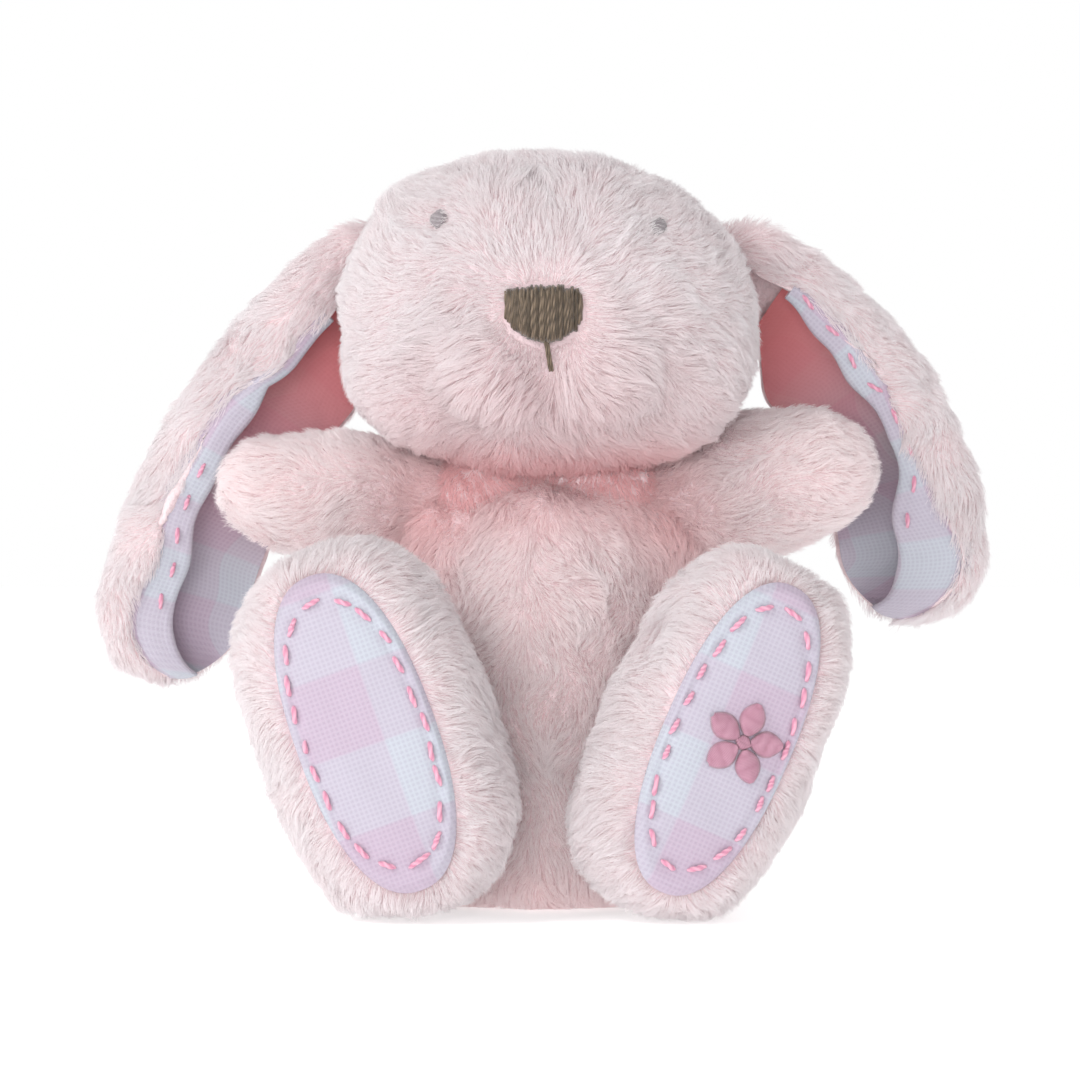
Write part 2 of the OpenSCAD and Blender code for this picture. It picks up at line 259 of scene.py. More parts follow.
def inflate(made):
    """Stuffs a cover: cloth under pressure, in which no point moves further than a limit."""
    before = points_of(made.data)
    cloth = made.modifiers.new("stuffing", "CLOTH")
    cloth.settings.quality = 4
    cloth.settings.use_pressure = True
    cloth.settings.uniform_pressure_force = INFLATE_PRESSURE
    cloth.settings.effector_weights.gravity = 0
    cloth.settings.tension_stiffness = 30
    cloth.settings.compression_stiffness = 30
    cloth.settings.bending_stiffness = 0.5
    cloth.collision_settings.use_collision = False
    scene = bpy.context.scene
    for step in range(1, INFLATE_FRAMES + 1):
        scene.frame_set(step)
    evaluated = made.evaluated_get(bpy.context.evaluated_depsgraph_get())
    move = points_of(evaluated.to_mesh()) - before
    evaluated.to_mesh_clear()
    made.modifiers.remove(cloth)
    scene.frame_set(1)
    far = np.linalg.norm(move, axis=1, keepdims=True)
    if np.isfinite(far).all():
        share = np.minimum(1, INFLATE_LIMIT / np.maximum(far, 1e-9))
        set_points(made.data, before + move * share)


def subdivided(made, levels):
    bpy.context.view_layer.objects.active = made
    modifier = made.modifiers.new("finer", "SUBSURF")
    modifier.levels = levels
    modifier.render_levels = levels
    evaluated = made.evaluated_get(bpy.context.evaluated_depsgraph_get())
    made_mesh = bpy.data.meshes.new_from_object(evaluated)
    made.modifiers.remove(modifier)
    made.data = made_mesh
    made_mesh.polygons.foreach_set("use_smooth", [True] * len(made_mesh.polygons))


def nearest(leaders, points, count):
    """The indices of each point's nearest leaders."""
    tree = kdtree.KDTree(len(leaders))
    for i, leader in enumerate(leaders):
        tree.insert(leader, i)
    tree.balance()
    found = [tree.find_n(p, count) for p in points]
    return np.array([[f[1] for f in row] for row in found])


def combed(points, normals, flow, seed, stray):
    """The way the pile lies at each point: along flow, in the surface, with slow swirls."""
    g = flow(points)
    g = unit(g - normals * (g * normals).sum(axis=1, keepdims=True))
    across = np.cross(normals, g)
    angle = stray * (waves(points, 14, seed) + 0.6 * waves(points, 5, seed + 1))
    return g * np.cos(angle)[:, None] + across * np.sin(angle)[:, None]


TUFT_LENGTH = 4.6
TUFT_WIDTH = 1.9
TUFT_RISE = 0.9
TUFT_AREA = 6


def tufted(made, flow, seed, calm):
    """Raises locks of pile over a cover, each higher at its tip, except where calm(points) is 1."""
    mesh = made.data
    points, normals = points_of(mesh), normals_of(mesh)
    g = combed(points, normals, flow, seed, 0.5)
    across = np.cross(normals, g)
    rng = np.random.default_rng(seed)
    count = max(60, int(sum(f.area for f in mesh.polygons) / MM ** 2 / TUFT_AREA))
    leaders = points[rng.choice(len(points), min(count, len(points) // 2), replace=False)]
    near = nearest(leaders, points, 4)
    rise = np.zeros(len(points))
    for k in range(near.shape[1]):
        offset = points - leaders[near[:, k]]
        along = (offset * g).sum(axis=1) / TUFT_LENGTH
        side = (offset * across).sum(axis=1) / TUFT_WIDTH
        bump = np.clip(1 - side ** 2 - (along - 0.15) ** 2, 0, 1)
        bump = bump * (0.6 + 0.4 * np.clip(along + 0.5, 0, 1))
        rise = np.maximum(rise, bump * (0.7 + 0.3 * np.sin(near[:, k])))
    free = 1 - calm(points)
    rise = rise * free
    slow = 0.5 * waves(points, 11, seed + 5)
    set_points(mesh, points + normals * ((rise - 0.5) * TUFT_RISE + slow * free)[:, None])
    float_layer(mesh, "tip", rise)


# ---- the pile ----

STRAND_POINTS = 5
STRAND_TAPER = np.array([1.0, 1.0, 0.85, 0.6, 0.2])
STRAND_R = 0.065
STRAND_SHARE = 1
STRANDS_A_LOCK = 16
FRIZZ = 0.16
FLOOR_GAP = 0.15


def scattered(mesh, density, rng):
    """Random places on a mesh, at so many a square millimetre, and the normals there."""
    mesh.calc_loop_triangles()
    triangles = np.empty(len(mesh.loop_triangles) * 3, np.int32)
    mesh.loop_triangles.foreach_get("vertices", triangles)
    triangles = triangles.reshape(-1, 3)
    points, normals = points_of(mesh), normals_of(mesh)
    a, b, c = (points[triangles[:, i]] for i in range(3))
    area = np.linalg.norm(np.cross(b - a, c - a), axis=1) / 2
    count = int(area.sum() * density)
    pick = rng.choice(len(triangles), count, p=area / area.sum())
    u, v = rng.random((2, count, 1))
    fold = u + v > 1
    u, v = np.where(fold, 1 - u, u), np.where(fold, 1 - v, v)
    w = 1 - u - v
    t = triangles[pick]
    roots = points[t[:, 0]] * w + points[t[:, 1]] * u + points[t[:, 2]] * v
    up = unit(normals[t[:, 0]] * w + normals[t[:, 1]] * u + normals[t[:, 2]] * v)
    return roots, up


def pile(name, skin, body, density, length, flow, keep, seed, lean=0.8, pink=None):
    """Strands of pile on a cover, density of them a square millimetre.

    keep(points) scales their length, and 0 drops them. pink(points) is how far they are tinted with painted
    shadow, a deeper pink."""
    rng = np.random.default_rng(seed)
    roots, up = scattered(skin.data, density * STRAND_SHARE, rng)
    scale = keep(roots)
    on = scale > 0.05
    roots, up, scale = roots[on], up[on], scale[on]
    g = combed(roots, up, flow, seed, 0.55)
    reach = length * scale * rng.uniform(0.72, 1.12, len(roots)) * (1 + 0.12 * waves(roots, 6, seed + 9))
    bend = lean * (1 + 0.25 * waves(roots, 8, seed + 3))
    step = np.linspace(0, 1, STRAND_POINTS)[None, :, None]
    rise = up[:, None] * (step * (1 - 0.28 * step * bend[:, None, None]))
    run = g[:, None] * (bend[:, None, None] * step ** 1.5)
    lay = rise * 0.5 + run * 0.85
    strands = roots[:, None] + lay * reach[:, None, None]
    leaders = rng.choice(len(roots), max(8, len(roots) // STRANDS_A_LOCK), replace=False)
    mine = nearest(roots[leaders], roots, 1)[:, 0]
    target = strands[leaders[mine]]
    gather = (0.12 + 0.38 * rng.random(len(leaders)))[mine][:, None, None] * step ** 1.6
    short = np.clip(scale, 0, 1)[:, None, None]
    strands = strands + (target - strands) * gather * short
    frizz = rng.normal(size=(len(roots), STRAND_POINTS, 3)) * step * FRIZZ
    strands = strands + frizz * short
    strands[:, :, 2] = np.maximum(strands[:, :, 2], FLOOR_GAP)
    curves = bpy.data.hair_curves.new(name)
    curves.add_curves([STRAND_POINTS] * len(strands))
    curves.position_data.foreach_set("vector", (strands * MM).astype(np.float32).ravel())
    float_layer(curves, "radius", np.tile(STRAND_TAPER, len(strands)) * STRAND_R * MM)
    float_layer(curves, "along", np.tile(np.linspace(0, 1, STRAND_POINTS), len(strands)))
    tone = 0.5 + 0.22 * waves(roots, 5, seed + 7) + 0.18 * rng.normal(size=len(leaders))[mine]
    float_layer(curves, "tone", np.clip(tone, 0, 1), "CURVE")
    painted_shadow = np.zeros(len(roots)) if pink is None else pink(roots)
    float_layer(curves, "painted_shadow", painted_shadow, "CURVE")
    made = bpy.data.objects.new(name, curves)
    bpy.context.scene.collection.objects.link(made)
    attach(made, body)
    return made


# ---- materials ----

class Nodes:
    """A material's node tree, with short ways to add to it."""

    def __init__(self, name):
        self.material = bpy.data.materials.new(name)
        self.material.use_nodes = True
        self.tree = self.material.node_tree
        self.shader = self.tree.nodes["Principled BSDF"]

    def add(self, kind, **values):
        node = self.tree.nodes.new("ShaderNode" + kind)
        for key, value in values.items():
            setattr(node, key, value)
        return node

    def link(self, source, target):
        self.tree.links.new(source, target)

    def attribute(self, name, output="Fac"):
        return self.add("Attribute", attribute_name=name).outputs[output]

    def math(self, operation, a, b=None, clamp=False):
        node = self.add("Math", operation=operation, use_clamp=clamp)
        for socket, value in zip(node.inputs, (a, b)):
            if value is None:
                continue
            if isinstance(value, (int, float)):
                socket.default_value = value
            else:
                self.link(value, socket)
        return node.outputs[0]

    def mix(self, share, a, b, blend="MIX"):
        node = self.add("MixRGB", blend_type=blend)
        for socket, value in zip(node.inputs, (share, a, b)):
            if isinstance(value, (int, float)):
                socket.default_value = value
            elif isinstance(value, tuple):
                socket.default_value = (*value, 1)
            else:
                self.link(value, socket)
        return node.outputs[0]

    def noise(self, vector, scale, detail=3):
        node = self.add("TexNoise")
        self.link(vector, node.inputs["Vector"])
        node.inputs["Scale"].default_value = scale
        node.inputs["Detail"].default_value = detail
        return node.outputs["Fac"]

    def bump(self, height, distance, strength=1.0):
        node = self.add("Bump")
        self.link(height, node.inputs["Height"])
        node.inputs["Distance"].default_value = distance
        node.inputs["Strength"].default_value = strength
        self.link(node.outputs[0], self.shader.inputs["Normal"])

    def finish(self, colour, roughness, sheen=0.0):
        self.link(colour, self.shader.inputs["Base Color"])
        self.shader.inputs["Roughness"].default_value = roughness
        self.shader.inputs["Specular IOR Level"].default_value = 0.2
        self.shader.inputs["Sheen Weight"].default_value = sheen
        return self.material


FUR_PALE = {"root": (0.88, 0.76, 0.77), "tip": (0.92, 0.88, 0.89), "light": (0.94, 0.92, 0.93)}
FUR_PINK = {"root": (0.97, 0.83, 0.835), "tip": (0.985, 0.935, 0.94), "light": (0.99, 0.955, 0.96)}
# painted shadow: the deeper pink that strands lying in shade are darkened towards
PAINTED_SHADOW_PINK = (0.93, 0.60, 0.61)
# painted shade: the pile's shadow over the cover, multiplied into its colour
PILE_SHADOW_ON_COVER = (0.85, 0.75, 0.77)
LET_THROUGH = 0.42


def strand_material(name, tones):
    """A strand's colour goes from a darker, pinker root, painted shade deep in the pile, to a paler tip, and
    some light passes through it.
    """
    n = Nodes(name)
    along = n.attribute("along")
    tone = n.attribute("tone")
    # painted shade: the root end is darker and pinker than the tip
    lower = n.mix(n.math("POWER", along, 0.5), tones["root"], tones["tip"])
    colour = n.mix(n.math("MULTIPLY", n.math("POWER", along, 1.4), tone), lower, tones["light"])
    # painted shadow: a strand is darkened towards a deeper pink by how far it lies in shade
    colour = n.mix(n.math("MULTIPLY", n.attribute("painted_shadow"), 0.75), colour, PAINTED_SHADOW_PINK)
    through = n.add("BsdfTranslucent")
    n.link(colour, through.inputs["Color"])
    both = n.add("MixShader")
    both.inputs[0].default_value = LET_THROUGH
    n.link(n.shader.outputs[0], both.inputs[1])
    n.link(through.outputs[0], both.inputs[2])
    n.link(both.outputs[0], n.tree.nodes["Material Output"].inputs["Surface"])
    return n.finish(colour, 0.6, 0.1)


def skin_material(name, tones):
    """The cover under the strands: paler on its raised locks and darker between them, painted light and
    shade, and darkened all over with painted shade of the pile.
    """
    n = Nodes(name)
    place = n.add("TexCoord").outputs["Object"]
    tip = n.attribute("tip")
    fine = n.noise(place, 900)
    patchy = n.noise(place, 110, 2)
    # painted shade in the hollows between locks, with random fine tone
    lower = n.mix(n.math("ADD", n.math("MULTIPLY", tip, 0.7), n.math("MULTIPLY", fine, 0.4), True),
                  tones["root"], tones["tip"])
    # painted light on the tops of the raised locks
    colour = n.mix(n.math("MULTIPLY", tip, patchy), lower, tones["light"])
    # painted shade: the whole cover is darkened as if in the pile's shadow
    colour = n.mix(1.0, colour, PILE_SHADOW_ON_COVER, "MULTIPLY")
    n.bump(fine, 0.0006)
    return n.finish(colour, 0.8, 0.3)


WEAVE_PITCH = 0.52
COTTON_WHITE, COTTON_PINK = (0.56, 0.59, 0.65), (0.56, 0.455, 0.555)
# painted shade colour for the hollows of the weave
COTTON_HOLLOW_SHADOW = (0.55, 0.45, 0.58)
# painted shade: deep salmon standing for the shade and pink bounce light inside the ear's hollow
LINING_CAVITY_SHADOW = (0.74, 0.21, 0.215)


def cloth_material(name, band, shift, cavity_shadow=None):
    """Plain-woven cotton with checks, each band mm wide in all, moved along by shift.

    The layer weave holds millimetres along the two threads, and the layer shade is how far painted shade of
    the ear's hollow, with painted pink bounce light, is mixed in."""
    n = Nodes(name)
    place = n.attribute("weave", "Vector")
    split = n.add("SeparateXYZ")
    n.link(place, split.inputs[0])
    u, v = split.outputs[0], split.outputs[1]
    wobble = n.noise(place, 0.35, 2)

    def thread(value, other):
        shifted = n.math("ADD", value, n.math("MULTIPLY", wobble, 0.25))
        wave = n.math("SINE", n.math("MULTIPLY", shifted, 2 * math.pi / WEAVE_PITCH))
        over = n.math("SINE", n.math("MULTIPLY", other, math.pi / WEAVE_PITCH))
        raised = n.math("MULTIPLY", n.math("ABSOLUTE", wave), 0.6)
        return n.math("ADD", raised, n.math("MULTIPLY", over, 0.3))

    def stripe(value, start):
        wave = n.math("SINE", n.math("MULTIPLY", n.math("ADD", value, start), 2 * math.pi / band))
        return n.math("ADD", n.math("MULTIPLY", wave, 9), 0.5, True)

    weave = n.math("MAXIMUM", thread(u, v), thread(v, u))
    pink = n.math("MULTIPLY", n.math("ADD", stripe(u, shift), stripe(v, shift * 0.7)), 0.5)
    streak = n.noise(place, 3.0, 2)
    pink = n.math("MULTIPLY", pink, n.math("ADD", n.math("MULTIPLY", streak, 0.7), 0.55), True)
    colour = n.mix(pink, COTTON_WHITE, COTTON_PINK)
    # painted shade: the cloth is darker in the hollows between its threads
    hollow_shadow = n.math("SUBTRACT", 0.4, n.math("MULTIPLY", weave, 0.45), True)
    colour = n.mix(hollow_shadow, colour, COTTON_HOLLOW_SHADOW, "MULTIPLY")
    # painted shade of the ear's hollow, as far as the layer shade asks
    if cavity_shadow is not None:
        colour = n.mix(n.attribute("shade"), colour, cavity_shadow)
    n.bump(weave, 0.00012, 0.8)
    return n.finish(colour, 0.85, 0.15)


def thread_material(name, dark, light):
    """Twisted thread: the layer ply is nought in the groove between its two plies. The colour is darker in
    the groove and paler on the plies' crests, painted shade and highlight, with random tone.
    """
    n = Nodes(name)
    place = n.add("TexCoord").outputs["Object"]
    tone = n.noise(place, 700, 2)
    # painted shade in the groove between plies, painted highlight on their crests
    ply = n.math("MULTIPLY", n.attribute("ply"), 0.6)
    colour = n.mix(n.math("ADD", ply, n.math("MULTIPLY", tone, 0.4)), dark, light)
    n.bump(tone, 0.0002, 0.6)
    return n.finish(colour, 0.5, 0.3)


def plain_material(name, dark, light, grain):
    n = Nodes(name)
    place = n.add("TexCoord").outputs["Object"]
    grains = n.noise(place, grain, 4)
    n.bump(grains, 0.0004, 0.7)
    return n.finish(n.mix(grains, dark, light), 0.8)


def dress(made, material):
    made.data.materials.clear()
    made.data.materials.append(material)


def settle(made, body, material, nodes):
    """Dresses a piece in its material, sets it to ride on a body and hides the CAD nodes it stands for."""
    dress(made, MATERIALS[material])
    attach(made, body)
    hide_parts(*nodes)


MATERIALS = {
    "pale_skin": skin_material("pale_plush", FUR_PALE),
    "pink_skin": skin_material("pink_plush", FUR_PINK),
    "pale_strand": strand_material("pale_pile", FUR_PALE),
    "pink_strand": strand_material("pink_pile", FUR_PINK),
    "sole": cloth_material("sole_cotton", 34, 4),
    "lining": cloth_material("lining_cotton", 26, 9, LINING_CAVITY_SHADOW),
    "pink_thread": thread_material("pink_cotton_thread", (0.58, 0.20, 0.32), (0.85, 0.47, 0.58)),
    "rose_thread": thread_material("rose_cotton_thread", (0.34, 0.14, 0.20), (0.58, 0.33, 0.42)),
    "brown_thread": thread_material("brown_cotton_thread", (0.008, 0.005, 0.002), (0.25, 0.185, 0.13)),
    "grey_thread": thread_material("grey_cotton_thread", (0.22, 0.19, 0.20), (0.40, 0.36, 0.38)),
    "pouch": plain_material("pouch_calico", (0.62, 0.62, 0.58), (0.78, 0.78, 0.74), 500),
    "pellets": plain_material("plastic_pellets", (0.70, 0.70, 0.68), (0.92, 0.92, 0.90), 420),
}

# ---- which way the pile lies, and where it is short ----

def down(p):
    return np.tile([0.0, 0.0, -1.0], (len(p), 1))


def torso_flow(p):
    return unit(np.stack([p[:, 0] * 0.012, p[:, 1] * 0.004 - 0.15, np.full(len(p), -1.0)], axis=1))


def head_flow(p):
    q = p - NOSE_C
    back = smoothstep(-20, 10, p[:, 1])[:, None]
    return unit(unit(q) * (1 - back) + np.array([0, -0.15, -1]) * back)


def arm_flow(side):
    d = arm_axes(side)[:, 0]
    return lambda p: np.tile(d * 0.9 + [0, 0, -0.25], (len(p), 1))


def foot_flow(side):
    axes, origin = foot_axes(side), FOOT_C[side]

    def flow(p):
        q = (p - origin) @ axes
        front = smoothstep(-4, -20, q[:, 1])[:, None]
        out = unit(q * [1, 0, 0.6])
        local = np.tile([0.0, 0.7, -0.6], (len(q), 1))
        return (local * (1 - front) + out * front) @ axes.T
    return flow


def tail_flow(p):
    return unit(p - TAIL_C + [0, 6, 0])


def everywhere(p):
    return np.ones(len(p))


def nowhere(p):
    return np.zeros(len(p))


def head_keep(p):
    """None under the nose, short in the crease under it and round the eyes, long on the muzzle."""
    nose = np.hypot((p[:, 0] - NOSE_C[0]) / 10.5, (p[:, 2] - NOSE_C[2] + 0.3) / 8.5)
    keep = smoothstep(0.8, 1.4, nose) * 0.55 + 0.45
    keep = np.where((nose < 0.85) & (p[:, 1] < -30), 0, keep)
    crease = np.hypot((p[:, 0] - NOSE_C[0] - 0.8) / 1.6, (p[:, 2] - 122) / 7)
    keep = keep * np.where(p[:, 1] < -30, 0.35 + 0.65 * smoothstep(0.5, 1.6, crease), 1)
    for side in SIDES:
        eye = np.hypot(p[:, 0] - SIDES[side] * EYE_X, p[:, 2] - EYE_Z[side])
        keep = keep * np.where(p[:, 1] < -20, 0.6 + 0.4 * smoothstep(1.2, 6, eye), 1)
    muzzle = smoothstep(14, 4, np.abs(p[:, 2] - 120)) * smoothstep(-34, -44, p[:, 1])
    beside = smoothstep(1.3, 1.9, nose) * smoothstep(3.4, 2.2, nose) * smoothstep(140, 128, p[:, 2])
    return keep * (1 + 0.25 * muzzle + 0.35 * beside * (p[:, 1] < -25))


# painted shadow under the muzzle and chin, and round the neck
def head_painted_shadow(p):
    low = smoothstep(108, 96, p[:, 2])
    return 0.95 * low + 0.35 * smoothstep(60, 20, np.linalg.norm(p - [0, -20, 92], axis=1))


# painted shadow by the arms, under the chin at the top and near the floor
def torso_painted_shadow(p):
    arms = [smoothstep(22, 6, np.linalg.norm(p - mirrored([33, -18, 84], s), axis=1)) for s in SIDES]
    top = smoothstep(78, 90, p[:, 2])
    low = smoothstep(18, 4, p[:, 2])
    return np.clip(0.06 + 0.4 * np.maximum(arms[0], arms[1]) + 0.3 * top + 0.15 * low, 0, 1)


# painted shadow where the arm meets the shoulder
def arm_painted_shadow(side):
    origin = mirrored(SHOULDER_C, side)
    return lambda p: 0.04 + 0.5 * smoothstep(26, 8, np.linalg.norm(p - origin, axis=1))


def foot_local(side):
    axes, origin = foot_axes(side), FOOT_C[side]
    return lambda p: (p - origin) @ axes


def sole_share(side, q):
    """How far out on the sole each place is, which is 1 at the patch's edge."""
    across = np.abs(q[:, 0] / PATCH_HALF_W[side]) ** PATCH_SQUARE
    along = np.abs(q[:, 2] / PATCH_HALF_L) ** PATCH_SQUARE
    return (across + along) ** (1 / PATCH_SQUARE)


def leg_keep(side):
    """None under the sole's patch, and a little shorter at its edge."""
    local = foot_local(side)

    def keep(p):
        q = local(p)
        share = sole_share(side, q)
        sole = (q[:, 1] < -SOLE_DEPTH + 3.5) & (share < 0.98)
        near = np.where(q[:, 1] < -SOLE_DEPTH + 6, 0.8 + 0.2 * smoothstep(0.98, 1.25, share), 1)
        return np.where(sole, 0, near)
    return keep


def leg_calm(side):
    """No locks under the sole's patch."""
    local = foot_local(side)

    def calm(p):
        q = local(p)
        share = sole_share(side, q)
        return smoothstep(1.12, 0.95, share) * smoothstep(-SOLE_DEPTH + 6, -SOLE_DEPTH + 3, q[:, 1])
    return calm


def head_calm(p):
    """No locks under the nose."""
    nose = np.hypot((p[:, 0] - NOSE_C[0]) / 11, (p[:, 2] - NOSE_C[2]) / 9)
    return smoothstep(1.4, 0.8, nose) * smoothstep(-30, -36, p[:, 1])


PILE_LENGTH = 5.0
PILE_DENSITY = 6.0


def plush(form, body, nodes, flow, tones, seed, calm=nowhere, keep=everywhere, painted_shadow=None,
          length=PILE_LENGTH, density=PILE_DENSITY):
    """One stuffed part, which stands for nodes: its cover, inflated and tufted, and the pile on it."""
    inflate(form)
    subdivided(form, 2)
    tufted(form, flow, seed, calm)
    settle(form, body, tones + "_skin", nodes)
    name = form.name.replace("_plush", "_pile")
    grown = pile(name, form, body, density, length, flow, keep, seed, pink=painted_shadow)
    dress(grown, MATERIALS[tones + "_strand"])


def make_torso():
    form = star_form("body_plush", np.array([0, 0, 44]), np.diag([1, 1, 1.3]), torso_distance, 5)
    plush(form, "torso", ["body_cover", "body_stuffing"], torso_flow, "pink", 11, painted_shadow=torso_painted_shadow)
    form = star_form("tail_plush", TAIL_C, np.eye(3), tail_distance, 4)
    plush(form, "torso", ["tail_cover", "tail_stuffing"], tail_flow, "pale", 12, density=5.0)


def make_neck_and_head():
    form = star_form("neck_plush", NECK_C, np.diag([1.6, 1, 1]), neck_distance, 4)
    # the neck, hidden under the head, is darkened all over with painted shadow
    plush(form, "neck", ["neck_plug", "neck_seam"], down, "pink", 13, painted_shadow=everywhere, length=3.6)
    form = star_form("head_plush", HEAD_C, np.diag([1.2, 1, 1]), head_distance, 5)
    plush(form, "head", ["head_cover", "head_stuffing"], head_flow, "pale", 14, calm=head_calm,
          keep=head_keep, painted_shadow=head_painted_shadow, length=5.1, density=6.5)


def make_arm(side):
    axes, flip = arm_axes(side), np.diag([SIDES[side], 1, 1])
    middle = mirrored(SHOULDER_C, side) + axes[:, 0] * ARM_LEN / 2
    form = star_form(side + "_arm_plush", middle, axes @ np.diag([1.7, 1, 1]) @ flip, arm_distance(side), 4)
    plush(form, side + "_arm", [side + "_arm_cover", side + "_arm_stuffing"], arm_flow(side), "pink",
          20 + SIDES[side], painted_shadow=arm_painted_shadow(side))


def make_leg(side):
    axes, flip = foot_axes(side), np.diag([SIDES[side], 1, 1])
    stretch = axes @ np.diag([1, 1, 1.35]) @ flip
    form = star_form(side + "_leg_plush", FOOT_C[side], stretch, leg_distance(side), 5)
    plush(form, side + "_leg", [side + "_leg_cover", side + "_leg_stuffing"], foot_flow(side), "pale",
          30 + SIDES[side], calm=leg_calm(side), keep=leg_keep(side), length=5.2)


make_torso()
make_neck_and_head()
for side in SIDES:
    make_arm(side)
    make_leg(side)

# ---- ears: a folded layer of plush with a lining that is turned out over its front edge ----

EAR_STEPS = {"left": 110, "right": 130}
EAR_ROOT, EAR_ROOT_WIDTH, EAR_ROOT_TUCK = 13, 13, 9
LOBE_R = EAR_WIDTH / 2
LOBE_START = 0.8
PLUSH_T = 0.9
LINING_DEPTH = 2.7
LINING_START = 0.16
STRIP_POINTS, STRIP_PROUD = 9, 0.25
LIP_R = 1.4
PLUSH_ACROSS, LINING_ACROSS = 60, 72
EAR_PILE_LENGTH, EAR_PILE_DENSITY = 4.6, 5.4


def grid(name, rows):
    """A mesh from rows of points, each of the same length."""
    rows = np.asarray(rows)
    n, m = rows.shape[:2]
    faces = [[i * m + j, i * m + j + 1, (i + 1) * m + j + 1, (i + 1) * m + j]
             for i in range(n - 1) for j in range(m - 1)]
    return mesh_object(name, rows.reshape(-1, 3), faces)


def evenly(path, count):
    """count points at even spacing along a path."""
    path = np.asarray(path)
    run = np.concatenate([[0], np.cumsum(np.linalg.norm(np.diff(path, axis=0), axis=1))])
    at = np.linspace(0, run[-1], count)
    return np.stack([np.interp(at, run, path[:, k]) for k in range(path.shape[1])], axis=1)


Section = namedtuple("Section", "angle plush lining share reach")


